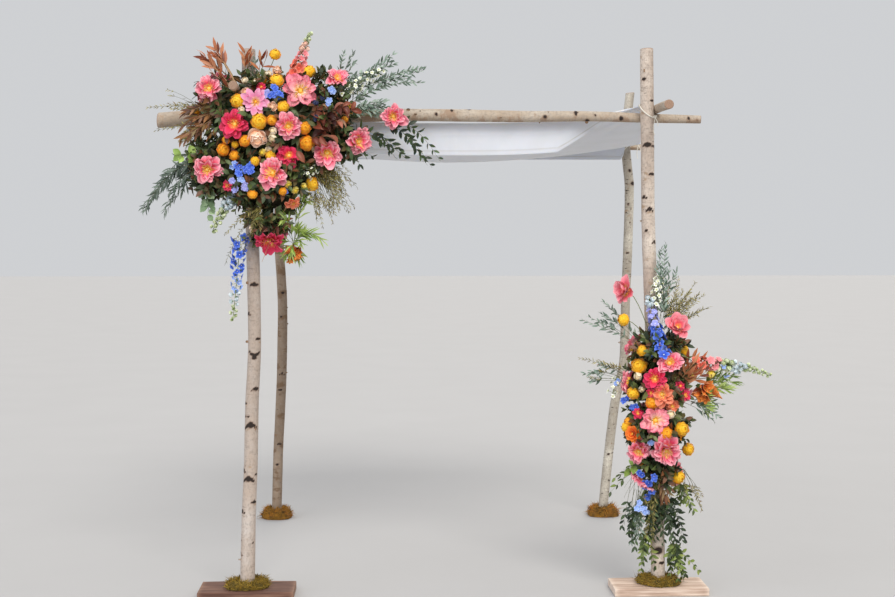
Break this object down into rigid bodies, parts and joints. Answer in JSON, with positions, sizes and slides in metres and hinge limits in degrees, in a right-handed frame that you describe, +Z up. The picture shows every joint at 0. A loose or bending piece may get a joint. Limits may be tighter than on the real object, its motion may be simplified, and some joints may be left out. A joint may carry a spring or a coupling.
{
  "type": "chuppah canopy",
  "caption": "Open wedding canopy: birch poles and bars, a sagging white cotton cloth tied at its corners, wooden feet, and cut flowers tied to a top corner and a front pole.",
  "frame": {"origin": "on the ground, in the middle of the whole outline seen from above", "axes": "+X to the right of a viewer in front, +Y to the rear, +Z up"},
  "size_m": [2.949, 2.4, 2.6362],
  "materials": {
    "birch_bark": "peeling white bark with dark lenticels and knots",
    "stained_board": "weathered red-brown stain",
    "moss": "dried moss",
    "cotton_cord": "matt",
    "cotton_cloth": "plain weave, matt",
    "petals_pink": "soft petals",
    "petals_coral": "soft petals",
    "petals_blue": "soft petals",
    "petals_orange": "soft petals",
    "foliage_copper": "satin leaves",
    "foliage_green": "satin leaves"
  },
  "bodies": {
    "root": {"post_front_left": "birch_bark", "post_front_right": "birch_bark", "post_rear_left": "birch_bark", "post_rear_right": "birch_bark", "crossbar_front": "birch_bark", "crossbar_rear": "birch_bark", "side_bar_left": "birch_bark", "side_bar_right": "birch_bark", "base_board_front_left": "stained_board", "base_board_front_right": "stained_board", "base_board_rear_left": "stained_board", "base_board_rear_right": "stained_board", "moss_front_left": "moss", "moss_front_right": "moss", "moss_rear_left": "moss", "moss_rear_right": "moss", "cloth_tie_front_left": "cotton_cord", "cloth_tie_front_right": "cotton_cord", "cloth_tie_rear_left": "cotton_cord", "cloth_tie_rear_right": "cotton_cord", "canopy_cloth": "cotton_cloth", "corner_flower_bank": "petals_pink", "post_flower_bank": "petals_pink", "post_top_blooms": "petals_pink", "corner_snapdragon": "petals_coral", "corner_delphinium": "petals_blue", "post_bell_cluster": "petals_orange", "corner_bell_cluster": "petals_orange", "corner_copper_spray": "foliage_copper", "corner_left_foliage": "foliage_copper", "corner_willow_branch": "foliage_green", "corner_right_spray": "foliage_green", "corner_trailing_vine": "foliage_green", "corner_dry_tuft": "foliage_green", "post_upper_spray": "foliage_green", "post_left_spray": "foliage_green", "post_right_strand": "foliage_green", "post_trailing_left": "foliage_green", "post_trailing_right": "foliage_green"}
  },
  "joints": []
}
